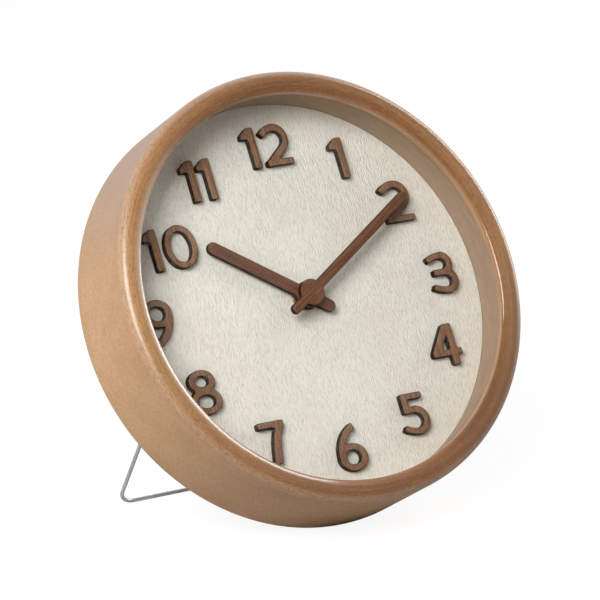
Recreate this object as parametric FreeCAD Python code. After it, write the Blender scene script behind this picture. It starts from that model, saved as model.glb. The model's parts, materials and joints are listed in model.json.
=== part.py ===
import FreeCAD, Part
import math
import os
from FreeCAD import Vector

# Round wooden desk clock that leans back on a folding wire bail.
#
# Everything is modelled in the clock's own frame: X to three o'clock, Z to twelve o'clock,
# Y into the case, origin at the centre of the front face. stand_on_table() then leans each
# piece back and sets it on the table. Millimetres and degrees.

os.makedirs("parts", exist_ok=True)

# ---------------------------------------------------------------- driving dimensions

LEAN = 31.4                  # the case leans back from upright by this angle

CASE_R = 110.0               # outside of the bentwood case ring
CASE_DEPTH = 52.0
RIM_ROUND = 5.0              # outer rounding of the front rim
LIP_R = 98.4                 # opening of the front rim; its lip holds the glass
LIP_DEPTH = 6.0
LIP_ROUND = 3.2              # depth of the rounding from the rim's crest to its opening
OUTER_CUTS = 3               # each rounding is turned as this many short tapers
INNER_CUTS = 2
BACK_BREAK = 1.5             # chamfer of the back outer edge, which rests on the table
BORE_R = 101.0               # bore behind the lip

GLASS_THICK = 1.9
GLASS_GAP = 0.2
LINER_WALL = 0.8             # the liner holds the glass against the lip and the dial off it

DIAL_Y = 24.85               # visible face of the dial
DIAL_FACE_THICK = 0.4
BOARD_THICK = 3.0
DIAL_CLEARANCE = 0.2

NUMERAL_THICK = 3.0
NUMERAL_HEIGHT = 21.4
STEM = 4.3                   # width of upright strokes
STROKE = 3.8                 # width of curved strokes
BAR = 3.3                    # width of level strokes

MINUTES_PAST_TEN = 9.78      # time shown at rest
HAND_THICK = 2.2
HAND_END_FLAT = 0.01         # half the flat left between the two roundings of an end
MINUTE_HAND_Y = 16.0         # front face of the minute hand
MINUTE_TIP = 80.0
MINUTE_TAIL = 15.6
MINUTE_WIDTH = 5.0
MINUTE_HUB_R = 6.8
HOUR_HAND_Y = 20.6
HOUR_TIP = 57.0
HOUR_TAIL = 15.6
HOUR_WIDTH = 6.5
HOUR_HUB_R = 7.0

MOVEMENT_SIZE = 56.0
MOVEMENT_DEPTH = 16.0
MOVEMENT_WALL = 1.5
MOVEMENT_CORNER = 4.0
PARTITION_TOP = -11.0        # the gear chamber lies above this level, the battery below
PARTITION_THICK = 1.2
BAY_WALL = 1.0
CELL_FLOOR = 1.4             # front of the movement to the cell
CELL_GAP = 0.2
THUMB_HALF = 9.0             # half the width of the notch that the cell is lifted out by
HANGER_REACH = 8.0
HANGER_HOLE_R = 3.0
HANGER_THICK = 3.0
HANGER_FOOT = 10.0           # half the loop's width at the housing
HANGER_TOP = 6.0
HANGER_ROUND = 4.0
CORE_WALL_GAP = 0.2
COVER_WALL_GAP = 0.05

AA_R = 7.1
AA_LENGTH = 50.5
AA_NUB_R = 2.7
AA_NUB_LENGTH = 1.3
AA_NUB_ROOT = 0.5            # the nub starts this deep inside the can

LEAF_HALF_DEPTH = 4.0        # contact leaves, half sizes
LEAF_HALF_HEIGHT = 5.0
LEAF_THICK = 0.4
LEAF_GAP = 0.05              # between a contact and the cell
TONGUE_WIDTH = 2.4
TONGUE_THICK = 1.0           # at the root; it thins to TONGUE_TIP at the cell
TONGUE_TIP = 0.8
TONGUE_ROOT = 3.0            # the tongues start this far above the cell's axis
TONGUE_OFFSETS = (-3.2, 0.8)

ARBOR_R = 1.5                # minute arbor
ARBOR_TIP = 0.45             # the arbor ends this far behind the minute hand
COLLET_R = 2.4
COLLET_LENGTH = 2.0
COLLET_FLOOR = 0.4
PIPE_R = 2.6                 # hour pipe
BUSH_R = 4.0
FACE_HOLE_GAP = 0.2
BOARD_HOLE_GAP = 0.5
WASHER_R = 8.3
WASHER_THICK = 0.4
WASHER_GAP = 0.1
NUT_ACROSS_FLATS = 12.0
NUT_THICK = 1.3
BUSH_PROUD = 0.05            # the bush stands this far in front of the nut
RUNNING_GAP = 0.07
PIVOT_DEPTH = 0.8            # depth of the blind holes that the arbors run in
END_PLAY = 0.15
KNOB_ARBOR_R = 1.1
KNOB_R = 6.0
KNOB_DEPTH = 2.8
KNOB_RIDGES = 16
KNOB_GROOVE = 0.5
KNOB_STANDOFF = 0.4
KNOB_SOCKET = 2.2            # depth of the arbor in the knob

WHEEL_THICK = 1.0
WHEEL_GAP = 0.65             # chamber floor to the hour wheel
LAYER_GAP = 1.2              # hour wheel to the cannon pinion's wheel
CORE_GAP = 1.1
PINION_OVERHANG = 0.3
PINION_FOOT = 0.2            # the small pinion starts this far in front of the hour wheel
CORE_HOLE_GAP = 0.4

# Motion work: 12 -> 36 and 12 -> 48 teeth turn the hour hand at one twelfth.
CANNON_TEETH = 12
INTERMEDIATE_TEETH = 36
CANNON_MODULE = 0.5
HOUR_PINION_TEETH = 12
HOUR_TEETH = 48
HOUR_MODULE = 0.4
PRESSURE_ANGLE = 20.0
TOOTH_ADDENDUM = 0.8         # in modules
TOOTH_DEDENDUM = 1.05
TOOTH_PLAY = 0.035           # each tooth is this much thinner than half the pitch

WIRE_R = 1.0
BAIL_HALF = 79.3             # half the width between the bail's leg centre lines
BAIL_REACH = 83.2            # table bar to the case's contact point, along the table
BAIL_CORNER = 9.0            # radius of the bends beside the table bar
BAIL_SHOULDER = 3.0          # radius of the bends beside the pins
CORNER_STEPS = 3             # straight facets along each bend
SHOULDER_STEPS = 1
BAIL_PIVOT_Y = 46.0
BAIL_PIVOT_Z = -27.3
BAIL_PIN_END = 103.5
PIN_HOLE_GAP = 0.06          # the pins spring into holes drilled in the ring
PIN_HOLE_END = 104.2

# ---------------------------------------------------------------- worked-out dimensions

GLASS_BACK = LIP_DEPTH + GLASS_THICK
BOARD_Y = DIAL_Y + DIAL_FACE_THICK
NUT_Y = DIAL_Y - WASHER_THICK - NUT_THICK
MOVEMENT_Y = BOARD_Y + BOARD_THICK
CHAMBER_Y = MOVEMENT_Y + MOVEMENT_WALL
MOVEMENT_BACK = MOVEMENT_Y + MOVEMENT_DEPTH
COVER_Y = MOVEMENT_BACK - MOVEMENT_WALL
HALF_MOVEMENT = MOVEMENT_SIZE / 2
CHAMBER_HALF = HALF_MOVEMENT - MOVEMENT_WALL
NUMERAL_Y = DIAL_Y - NUMERAL_THICK
HALF_NUMERAL = NUMERAL_HEIGHT / 2
HALF_BAR = BAR / 2
BAY_TOP = PARTITION_TOP - PARTITION_THICK
BAY_BOTTOM = -HALF_MOVEMENT + BAY_WALL
CELL_Z = (BAY_TOP + BAY_BOTTOM) / 2
CELL_Y = MOVEMENT_Y + CELL_FLOOR + AA_R
CELL_FRONT_X = CHAMBER_HALF - LEAF_THICK - LEAF_GAP     # tip of the positive nub

# Motion work, from the front of the movement to its back.
HOUR_LAYER = (CHAMBER_Y + WHEEL_GAP, CHAMBER_Y + WHEEL_GAP + WHEEL_THICK)
CANNON_LAYER = (HOUR_LAYER[1] + LAYER_GAP, HOUR_LAYER[1] + LAYER_GAP + WHEEL_THICK)
CORE_Y = CANNON_LAYER[1] + CORE_GAP       # front of the closed motor and reduction gears

MINUTE_ANGLE = 360.0 * MINUTES_PAST_TEN / 60
HOUR_ANGLE = 30.0 * (10 + MINUTES_PAST_TEN / 60)

SIN_LEAN = math.sin(math.radians(LEAN))
COS_LEAN = math.cos(math.radians(LEAN))


def table_height(y, z):
    """Height of a point of the leaned clock above its own centre."""
    return z * COS_LEAN - y * SIN_LEAN


def table_reach(y, z):
    """Distance of a point of the leaned clock behind its own centre."""
    return y * COS_LEAN + z * SIN_LEAN


FOOT_Y = CASE_DEPTH - BACK_BREAK            # the case rests on this edge, at six o'clock
TABLE_Z = table_height(FOOT_Y, -CASE_R)
CONTACT_REACH = table_reach(FOOT_Y, -CASE_R)
FRONT_REACH = table_reach(RIM_ROUND, -(CASE_R - RIM_ROUND)) - RIM_ROUND
BACK_REACH = table_reach(CASE_DEPTH, CASE_R - BACK_BREAK)
MIDDLE_REACH = (FRONT_REACH + BACK_REACH) / 2

BAR_REACH = CONTACT_REACH + BAIL_REACH
BAR_HEIGHT = TABLE_Z + WIRE_R
BAIL_BAR_Y = BAR_REACH * COS_LEAN - BAR_HEIGHT * SIN_LEAN
BAIL_BAR_Z = BAR_REACH * SIN_LEAN + BAR_HEIGHT * COS_LEAN


# ---------------------------------------------------------------- general helpers

def stand_on_table(shape):
    """Leans a piece back and moves it so that the clock rests on Z = 0."""
    placed = shape.copy()
    placed.rotate(Vector(0, 0, 0), Vector(1, 0, 0), -LEAN)
    placed.translate(Vector(0, -MIDDLE_REACH, -TABLE_Z))
    return placed


def save(name, shape):
    stand_on_table(shape).exportStep("parts/" + name + ".step")


def on_dial(x, z):
    """A point of an outline drawn on the dial plane."""
    return Vector(x, 0, z)


def on_section(radius, y):
    """A point of a profile that is turned about the clock's axis."""
    return Vector(radius, y, 0)


def polar(radius, clock_angle):
    """Dial position at an angle counted clockwise from twelve."""
    turn = math.radians(clock_angle)
    return radius * math.sin(turn), radius * math.cos(turn)


def rounded_wire(corners, to_point):
    """Closed outline through (x, y, rounding) corners."""
    count = len(corners)
    points = [to_point(corner[0], corner[1]) for corner in corners]
    ends = []
    edges = []
    for index in range(count):
        here = points[index]
        radius = corners[index][2]
        if radius == 0:
            ends.append((here, here))
            continue
        to_last = points[index - 1].sub(here).normalize()
        to_next = points[(index + 1) % count].sub(here).normalize()
        half = to_last.getAngle(to_next) / 2
        reach = radius / math.tan(half)
        inward = to_last.add(to_next).normalize()
        middle = here.add(Vector(inward).multiply(radius / math.sin(half) - radius))
        start = here.add(Vector(to_last).multiply(reach))
        end = here.add(Vector(to_next).multiply(reach))
        ends.append((start, end))
        edges.append(Part.Arc(start, middle, end).toShape())
    for index in range(count):
        start = ends[index][1]
        end = ends[(index + 1) % count][0]
        if start.distanceToPoint(end) > 1e-6:
            edges.append(Part.makeLine(start, end))
    return Part.Wire(Part.__sortEdges__(edges))


def turned(profile):
    """Solid of revolution about the clock's axis from (radius, y, rounding) corners."""
    face = Part.Face(rounded_wire(profile, on_section))
    return face.revolve(Vector(0, 0, 0), Vector(0, 1, 0), 360)


def flat_piece(face, y, thickness):
    """Extrudes a face of the dial plane and moves it to its depth."""
    piece = face.extrude(Vector(0, thickness, 0))
    piece.translate(Vector(0, y, 0))
    return piece


def plate(corners, y, thickness):
    return flat_piece(Part.Face(rounded_wire(corners, on_dial)), y, thickness)


def rod(radius, start_y, end_y, x=0.0, z=0.0):
    return Part.makeCylinder(radius, end_y - start_y, Vector(x, start_y, z), Vector(0, 1, 0))


def tube(outer, inner, start_y, end_y, x=0.0, z=0.0):
    return rod(outer, start_y, end_y, x, z).cut(rod(inner, start_y, end_y, x, z))


def block(x0, x1, y0, y1, z0, z1):
    return Part.makeBox(x1 - x0, y1 - y0, z1 - z0, Vector(x0, y0, z0))


def joined(pieces):
    return pieces[0].multiFuse(pieces[1:]).removeSplitter()


def rectangle(x0, x1, z0, z1, rounding):
    """Corners of an upright rectangle."""
    return [(x0, z0, rounding), (x1, z0, rounding), (x1, z1, rounding), (x0, z1, rounding)]


# ---------------------------------------------------------------- case, glass and dial

def nose_side(width, depth, cuts):
    """Points down one side of the rim's nose, measured from its crest."""
    turns = [math.radians(90 * index / cuts) for index in range(cuts + 1)]
    return [(width * math.sin(turn), depth - depth * math.cos(turn)) for turn in turns]


def rim_corners():
    """Section of the rim's nose, from its opening over the crest to the outside."""
    crest_r = CASE_R - RIM_ROUND
    inner = nose_side(LIP_R - crest_r, LIP_ROUND, INNER_CUTS)
    outer = nose_side(RIM_ROUND, RIM_ROUND, OUTER_CUTS)
    return [(crest_r + offset, y, 0) for offset, y in inner[:0:-1] + outer]


def case_ring():
    """Bentwood ring with a rounded nose; a lip inside the nose holds the glass."""
    profile = [(BORE_R, CASE_DEPTH, 0), (BORE_R, LIP_DEPTH, 0), (LIP_R, LIP_DEPTH, 0)]
    profile += rim_corners()
    profile += [(CASE_R, CASE_DEPTH - BACK_BREAK, 0), (CASE_R - BACK_BREAK, CASE_DEPTH, 0)]
    return turned(profile).cut(Part.makeCompound([pin_hole(-1), pin_hole(1)]))


def front_glass():
    return rod(BORE_R - GLASS_GAP, LIP_DEPTH, GLASS_BACK)


def case_liner():
    return tube(BORE_R, BORE_R - LINER_WALL, GLASS_BACK, DIAL_Y)


def dial_face():
    return tube(BORE_R - DIAL_CLEARANCE, BUSH_R + FACE_HOLE_GAP, DIAL_Y, BOARD_Y)


def dial_board():
    return tube(BORE_R - DIAL_CLEARANCE, BUSH_R + BOARD_HOLE_GAP, BOARD_Y, MOVEMENT_Y)


# ---------------------------------------------------------------- numerals

def stroke_bar(start, end, width):
    """Straight stroke with square ends, as a face on the dial plane."""
    along = Vector(end[0] - start[0], 0, end[1] - start[1]).normalize()
    side = Vector(-along.z, 0, along.x).multiply(width / 2)
    first = on_dial(*start)
    last = on_dial(*end)
    outline = [first.add(side), last.add(side), last.sub(side), first.sub(side), first.add(side)]
    return Part.Face(Part.makePolygon(outline))


def sharp_face(corners):
    """Face inside an outline with square corners."""
    points = [on_dial(x, z) for x, z in corners]
    return Part.Face(Part.makePolygon(points + points[:1]))


def stroke_arc(centre, radius, width, start_angle, end_angle):
    """Curved stroke between two angles counted anticlockwise from three o'clock."""
    def point(distance, angle):
        turn = math.radians(angle)
        return on_dial(centre[0] + distance * math.cos(turn), centre[1] + distance * math.sin(turn))

    inner = radius - width / 2
    outer = radius + width / 2
    middle = (start_angle + end_angle) / 2
    outer_arc = Part.Arc(point(outer, start_angle), point(outer, middle), point(outer, end_angle))
    inner_arc = Part.Arc(point(inner, end_angle), point(inner, middle), point(inner, start_angle))
    edges = [
        outer_arc.toShape(),
        Part.makeLine(point(outer, end_angle), point(inner, end_angle)),
        inner_arc.toShape(),
        Part.makeLine(point(inner, start_angle), point(outer, start_angle)),
    ]
    return Part.Face(Part.Wire(edges))


def oval(centre_z, half_width, half_height):
    """Oval of four tangent arcs, with a tighter arc at each end of its longer axis."""
    major = max(half_width, half_height)
    minor = min(half_width, half_height)
    tip_r = minor * (minor + major) / (2 * major)
    tip_centre = major - tip_r
    side_r = (tip_centre ** 2 + minor ** 2 - tip_r ** 2) / (2 * (minor - tip_r))
    side_centre = side_r - minor
    along = tip_centre * side_r / (side_r - tip_r)
    across = side_centre * side_r / (side_r - tip_r) - side_centre
    outline = [
        (major, 0), (along, across), (0, minor), (-along, across),
        (-major, 0), (-along, -across), (0, -minor), (along, -across),
    ]
    if half_height > half_width:
        outline = [(b, a) for a, b in outline]
    points = [on_dial(x, centre_z + z) for x, z in outline]
    arcs = [Part.Arc(points[start - 1], points[start], points[(start + 1) % 8])
            for start in range(0, 8, 2)]
    return Part.Face(Part.Wire([arc.toShape() for arc in arcs]))


def oval_ring(centre_z, half_width, half_height, side_stroke, level_stroke):
    outer = oval(centre_z, half_width, half_height)
    return outer.cut(oval(centre_z, half_width - side_stroke, half_height - level_stroke))


def slab_of(faces):
    """Overlapping strokes joined into a slab of unit thickness."""
    return joined([face.extrude(Vector(0, 1, 0)) for face in faces])


def front_face(slab):
    return [face for face in slab.Faces if face.BoundBox.YMax < 0.5][0]


def outline_of(faces):
    """One outline around overlapping strokes."""
    return front_face(slab_of(faces))


def digit_zero():
    return oval_ring(0, 8.9, 11.0, 3.5, BAR).Faces[0]


def digit_one():
    flag_foot = 4.6
    stem_left = -0.1
    corners = [
        (stem_left, -HALF_NUMERAL),
        (stem_left + STEM, -HALF_NUMERAL),
        (stem_left + STEM, HALF_NUMERAL),
        (stem_left + 0.6, HALF_NUMERAL),
        (-4.0, 7.2),
        (-4.0, flag_foot),
        (stem_left, flag_foot),
    ]
    return sharp_face(corners)


def digit_two():
    foot_z = -HALF_NUMERAL + HALF_BAR
    neck_top = (3.93, -1.75)
    neck_foot = (-5.6, -8.7)
    return outline_of([
        stroke_arc((0.4, -2.2), 11.3, STROKE, 90, 137),
        stroke_arc((0.4, 3.1), 6.0, STROKE, -54, 90),
        stroke_bar(neck_top, neck_foot, STROKE),
        stroke_bar((-8.3, foot_z), (8.4, foot_z), BAR),
    ])


def digit_three():
    return outline_of([
        stroke_arc((0.9, -8.1), 17.0, BAR, 90, 119),
        stroke_arc((0.9, 4.6), 4.3, STROKE, -90, 90),
        stroke_bar((-5.4, 0.25), (1.4, 0.25), BAR),
        stroke_arc((1.4, -4.4), 4.7, STROKE, -90, 90),
        stroke_arc((1.4, 7.9), 17.0, BAR, 239, 270),
    ])


def digit_four():
    stem_left = 1.5
    stem_right = stem_left + STEM
    arm_foot = -5.7
    arm_top = arm_foot + BAR
    outline = [
        (stem_left, -HALF_NUMERAL),
        (stem_right, -HALF_NUMERAL),
        (stem_right, arm_foot),
        (8.4, arm_foot),
        (8.4, arm_top),
        (stem_right, arm_top),
        (stem_right, HALF_NUMERAL),
        (0.3, HALF_NUMERAL),
        (-9.1, arm_top - 0.6),
        (-9.1, arm_foot),
        (stem_left, arm_foot),
    ]
    counter = [(stem_left, 5.0), (stem_left, arm_top), (-3.1, arm_top)]
    return sharp_face(outline).cut(sharp_face(counter)).Faces[0]


def digit_five():
    top_z = HALF_NUMERAL - HALF_BAR
    stem_x = -4.3
    return outline_of([
        stroke_bar((-6.35, top_z), (6.2, top_z), BAR),
        stroke_bar((stem_x, HALF_NUMERAL), (stem_x, 0.6), 4.1),
        stroke_bar((-6.35, 2.25), (0.3, 2.25), BAR),
        stroke_arc((0.1, -3.25), 5.5, STROKE, -90, 90),
        stroke_arc((0.1, 5.25), 14.0, BAR, 235, 270),
    ])


def digit_six():
    bowl = oval_ring(-5.0, 8.1, 7.0, 4.0, 3.4)
    stem = stroke_arc((10.5, -5.0), 16.6, STROKE, 112, 176)
    return outline_of([bowl, stem])


def digit_seven():
    corners = [
        (-7.5, HALF_NUMERAL, 0),
        (7.4, HALF_NUMERAL, 0),
        (7.4, 7.9, 0),
        (4.2, 2.4, 6.0),
        (1.3, -HALF_NUMERAL, 0),
        (-3.4, -HALF_NUMERAL, 0),
        (-1.0, 0.5, 6.0),
        (1.8, HALF_NUMERAL - BAR, 0),
        (-7.5, HALF_NUMERAL - BAR, 0),
    ]
    return Part.Face(rounded_wire(corners, on_dial))


def digit_eight():
    body = outline_of([oval(5.4, 7.4, 5.8), oval(-4.6, 8.5, 6.6)])
    return body.cut(oval(5.4, 3.7, 2.6)).cut(oval(-4.6, 4.7, 3.2)).Faces[0]


def digit_nine():
    face = digit_six()
    face.rotate(Vector(0, 0, 0), Vector(0, 1, 0), 180)
    return face


# Centre of each numeral on the dial: they are set by eye on a circle of about 78 mm,
# the wide ones nudged so that they look evenly spread.
NUMERAL_CENTRES = {
    1: (40.2, 66.2), 2: (65.8, 39.6), 3: (80.0, -0.3), 4: (69.5, -37.0),
    5: (40.6, -68.0), 6: (-0.3, -78.0), 7: (-40.5, -68.6), 8: (-70.3, -38.0),
    9: (-83.4, -1.2), 10: (-66.1, 34.6), 11: (-41.2, 65.8), 12: (1.8, 77.9),
}

# Digits of each numeral with their sideways place in it.
DIGIT_PLACES = {
    1: ((1, 0.0),), 2: ((2, 0.0),), 3: ((3, 0.0),), 4: ((4, 0.0),),
    5: ((5, 0.0),), 6: ((6, 0.0),), 7: ((7, 0.0),), 8: ((8, 0.0),), 9: ((9, 0.0),),
    10: ((1, -10.4), (0, 5.5)), 11: ((1, -4.7), (1, 4.7)), 12: ((1, -9.4), (2, 4.9)),
}

def numeral(value):
    """One applied numeral, with one solid for each of its digits."""
    makers = (digit_zero, digit_one, digit_two, digit_three, digit_four,
              digit_five, digit_six, digit_seven, digit_eight, digit_nine)
    centre_x, centre_z = NUMERAL_CENTRES[value]
    solids = []
    for digit, offset in DIGIT_PLACES[value]:
        solid = flat_piece(makers[digit](), NUMERAL_Y, NUMERAL_THICK)
        solid.translate(Vector(centre_x + offset, 0, centre_z))
        solids.append(solid)
    if len(solids) == 1:
        return solids[0]
    return Part.makeCompound(solids)


# ---------------------------------------------------------------- hands

def hand(tip, tail, width, hub_radius, y, clock_angle):
    """Flat wooden hand with rounded ends and a round hub, turned to its reading."""
    half = width / 2
    blade = plate(rectangle(-half, half, -tail, tip, half - HAND_END_FLAT), y, HAND_THICK)
    hub = rod(hub_radius, y, y + HAND_THICK)
    whole = joined([blade, hub])
    whole.rotate(Vector(0, 0, 0), Vector(0, 1, 0), clock_angle)
    return whole


def minute_hand():
    return hand(MINUTE_TIP, MINUTE_TAIL, MINUTE_WIDTH, MINUTE_HUB_R, MINUTE_HAND_Y, MINUTE_ANGLE)


def minute_collet():
    """Brass cup glued behind the minute hand; the arbor ends inside it."""
    start = MINUTE_HAND_Y + HAND_THICK
    end = start + COLLET_LENGTH
    return rod(COLLET_R, start, end).cut(rod(ARBOR_R, start + COLLET_FLOOR, end))


def hour_hand():
    blank = hand(HOUR_TIP, HOUR_TAIL, HOUR_WIDTH, HOUR_HUB_R, HOUR_HAND_Y, HOUR_ANGLE)
    return blank.cut(rod(PIPE_R, HOUR_HAND_Y, HOUR_HAND_Y + HAND_THICK))


# ---------------------------------------------------------------- toothed wheels

def involute(angle):
    return math.tan(angle) - angle


def tooth_half_angle(radius, teeth, module):
    """Half the angle that a tooth fills at a radius."""
    pressure = math.radians(PRESSURE_ANGLE)
    pitch_radius = module * teeth / 2
    base_radius = pitch_radius * math.cos(pressure)
    at_pitch = math.pi / (2 * teeth) - TOOTH_PLAY / 2 / pitch_radius
    here = math.acos(base_radius / max(radius, base_radius))
    return at_pitch + involute(pressure) - involute(here)


def toothed_disc(teeth, module, phase):
    """Face of a gear with one tooth centred on the phase angle, in radians."""
    pitch_radius = module * teeth / 2
    root = pitch_radius - module * TOOTH_DEDENDUM
    tip = pitch_radius + module * TOOTH_ADDENDUM
    flank = (root, tip)
    points = []
    for tooth in range(teeth):
        middle = phase + 2 * math.pi * tooth / teeth
        rising = [(radius, middle - tooth_half_angle(radius, teeth, module)) for radius in flank]
        falling = [(radius, 2 * middle - angle) for radius, angle in reversed(rising)]
        for radius, angle in rising + falling:
            points.append(on_dial(radius * math.cos(angle), radius * math.sin(angle)))
    points.append(points[0])
    return Part.Face(Part.makePolygon(points))


def gear(teeth, module, start_y, end_y, centre, phase):
    wheel = flat_piece(toothed_disc(teeth, module, phase), start_y, end_y - start_y)
    wheel.translate(Vector(centre[0], 0, centre[1]))
    return wheel


def step_from(centre, distance, angle):
    turn = math.radians(angle)
    return centre[0] + distance * math.cos(turn), centre[1] + distance * math.sin(turn)


def centre_distance(module, teeth_a, teeth_b):
    return module * (teeth_a + teeth_b) / 2


CENTRE = (0.0, 0.0)
INTERMEDIATE_AT = step_from(CENTRE, centre_distance(CANNON_MODULE, CANNON_TEETH, INTERMEDIATE_TEETH), 0)


def tooth_towards(angle):
    """Phase that points a tooth at an angle."""
    return math.radians(angle)


def gap_towards(angle, teeth):
    """Phase that points the gap between two teeth at an angle."""
    return math.radians(angle) + math.pi / teeth


def minute_arbor():
    """Minute arbor with its cannon pinion; its back pivot turns in the core."""
    first, last = CANNON_LAYER
    pinion = gear(CANNON_TEETH, CANNON_MODULE, first - PINION_OVERHANG, last + PINION_OVERHANG,
                  CENTRE, tooth_towards(0))
    front = MINUTE_HAND_Y + HAND_THICK + ARBOR_TIP
    return joined([
        pinion,
        rod(ARBOR_R, front, CORE_Y + PIVOT_DEPTH - END_PLAY),
    ])


def intermediate_wheel():
    """Wheel driven by the cannon pinion, the pinion that drives the hour wheel, and the
    arbor that carries the setting knob behind the cover."""
    knob_y = MOVEMENT_BACK + KNOB_STANDOFF
    back_gap = gap_towards(180, INTERMEDIATE_TEETH)
    wheel = gear(INTERMEDIATE_TEETH, CANNON_MODULE, *CANNON_LAYER, INTERMEDIATE_AT, back_gap)
    pinion = gear(HOUR_PINION_TEETH, HOUR_MODULE, HOUR_LAYER[0] - PINION_FOOT,
                  HOUR_LAYER[1] + PINION_OVERHANG, INTERMEDIATE_AT, tooth_towards(180))
    return joined([
        wheel,
        pinion,
        rod(KNOB_ARBOR_R, CHAMBER_Y - PIVOT_DEPTH + END_PLAY, knob_y + KNOB_SOCKET, *INTERMEDIATE_AT),
    ])


def hour_wheel():
    """Hour wheel with the pipe that carries the hour hand."""
    wheel = gear(HOUR_TEETH, HOUR_MODULE, *HOUR_LAYER, CENTRE, gap_towards(0, HOUR_TEETH))
    pipe = rod(PIPE_R, HOUR_HAND_Y, HOUR_LAYER[1])
    bore = rod(ARBOR_R + RUNNING_GAP, HOUR_HAND_Y, HOUR_LAYER[1])
    return joined([wheel, pipe]).cut(bore)


# ---------------------------------------------------------------- movement case

def hanger_tab():
    """Loop above the housing for hanging the clock on a hook."""
    foot = HALF_MOVEMENT - MOVEMENT_WALL
    top = HALF_MOVEMENT + HANGER_REACH
    corners = [
        (-HANGER_FOOT, foot, 0),
        (HANGER_FOOT, foot, 0),
        (HANGER_TOP, top, HANGER_ROUND),
        (-HANGER_TOP, top, HANGER_ROUND),
    ]
    tab = plate(corners, MOVEMENT_BACK - HANGER_THICK, HANGER_THICK)
    hole_z = HALF_MOVEMENT + HANGER_REACH / 2
    return tab.cut(rod(HANGER_HOLE_R, MOVEMENT_BACK - HANGER_THICK, MOVEMENT_BACK, 0, hole_z))


def movement_housing():
    """Square moulded case: gear chamber above, open battery bay below."""
    shell = plate(rectangle(-HALF_MOVEMENT, HALF_MOVEMENT, -HALF_MOVEMENT, HALF_MOVEMENT,
                            MOVEMENT_CORNER), MOVEMENT_Y, MOVEMENT_DEPTH)
    shell = joined([shell, hanger_tab()])
    chamber = plate(rectangle(-CHAMBER_HALF, CHAMBER_HALF, PARTITION_TOP, CHAMBER_HALF, 0),
                    CHAMBER_Y, MOVEMENT_DEPTH)
    bay = plate(rectangle(-CHAMBER_HALF, CHAMBER_HALF, BAY_BOTTOM, BAY_TOP, 0),
                CELL_Y - AA_R - CELL_GAP, MOVEMENT_DEPTH)
    thumb_notch = plate(rectangle(-THUMB_HALF, THUMB_HALF, -MOVEMENT_SIZE, BAY_BOTTOM + BAY_WALL, 0),
                        CELL_Y, MOVEMENT_DEPTH)
    pivot = rod(KNOB_ARBOR_R + RUNNING_GAP, CHAMBER_Y - PIVOT_DEPTH, CHAMBER_Y, *INTERMEDIATE_AT)
    bush_hole = rod(BUSH_R, MOVEMENT_Y, CHAMBER_Y)
    return shell.cut(Part.makeCompound([chamber, bay, thumb_notch, pivot, bush_hole]))


def chamber_block(start_y, end_y, gap):
    """Block that fills the gear chamber between two depths, less a gap at its walls."""
    half = CHAMBER_HALF - gap
    return block(-half, half, start_y, end_y, PARTITION_TOP + gap, half)


def movement_core():
    """Closed step motor and reduction gears behind the motion work."""
    arbor_hole = rod(KNOB_ARBOR_R + CORE_HOLE_GAP, CORE_Y, COVER_Y, *INTERMEDIATE_AT)
    pivot = rod(ARBOR_R + RUNNING_GAP, CORE_Y, CORE_Y + PIVOT_DEPTH)
    return chamber_block(CORE_Y, COVER_Y, CORE_WALL_GAP).cut(Part.makeCompound([arbor_hole, pivot]))


def movement_cover():
    """Lid of the gear chamber; the setting arbor runs in its hole."""
    arbor_hole = rod(KNOB_ARBOR_R + RUNNING_GAP, COVER_Y, MOVEMENT_BACK, *INTERMEDIATE_AT)
    return chamber_block(COVER_Y, MOVEMENT_BACK, COVER_WALL_GAP).cut(arbor_hole)


def setting_knob():
    """Ridged knob pressed on the end of the intermediate arbor."""
    start = MOVEMENT_BACK + KNOB_STANDOFF
    points = []
    for index in range(2 * KNOB_RIDGES):
        radius = KNOB_R - KNOB_GROOVE * (index % 2)
        x, z = step_from(INTERMEDIATE_AT, radius, index * 180 / KNOB_RIDGES)
        points.append((x, z))
    knob = flat_piece(sharp_face(points), start, KNOB_DEPTH)
    return knob.cut(rod(KNOB_ARBOR_R, start, start + KNOB_SOCKET, *INTERMEDIATE_AT))


def mounting_bush():
    """Brass bush fixed in the housing; the hex nut on it clamps the movement to the dial."""
    return tube(BUSH_R, PIPE_R + RUNNING_GAP, NUT_Y - BUSH_PROUD, CHAMBER_Y)


def dial_washer():
    return tube(WASHER_R, BUSH_R + WASHER_GAP, DIAL_Y - WASHER_THICK, DIAL_Y)


def hex_nut():
    across_corners = NUT_ACROSS_FLATS / math.cos(math.radians(30))
    corners = [polar(across_corners / 2, 30 + 60 * index) for index in range(6)]
    blank = flat_piece(sharp_face(corners), NUT_Y, NUT_THICK)
    return blank.cut(rod(BUSH_R, NUT_Y, NUT_Y + NUT_THICK))


# ---------------------------------------------------------------- battery

def along_x(radius, start, end, y, z):
    return Part.makeCylinder(radius, end - start, Vector(start, y, z), Vector(1, 0, 0))


def battery():
    body_end = CELL_FRONT_X - AA_NUB_LENGTH
    can = along_x(AA_R, CELL_FRONT_X - AA_LENGTH, body_end, CELL_Y, CELL_Z)
    nub = along_x(AA_NUB_R, body_end - AA_NUB_ROOT, CELL_FRONT_X, CELL_Y, CELL_Z)
    return joined([can, nub])


def leaf(x0, x1):
    """Flat contact leaf between two places along the cell."""
    return block(x0, x1, CELL_Y - LEAF_HALF_DEPTH, CELL_Y + LEAF_HALF_DEPTH,
                 CELL_Z - LEAF_HALF_HEIGHT, CELL_Z + LEAF_HALF_HEIGHT)


def contact_positive():
    """Flat leaf on the wall of the bay, at the positive nub."""
    return leaf(CHAMBER_HALF - LEAF_THICK, CHAMBER_HALF)


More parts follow.
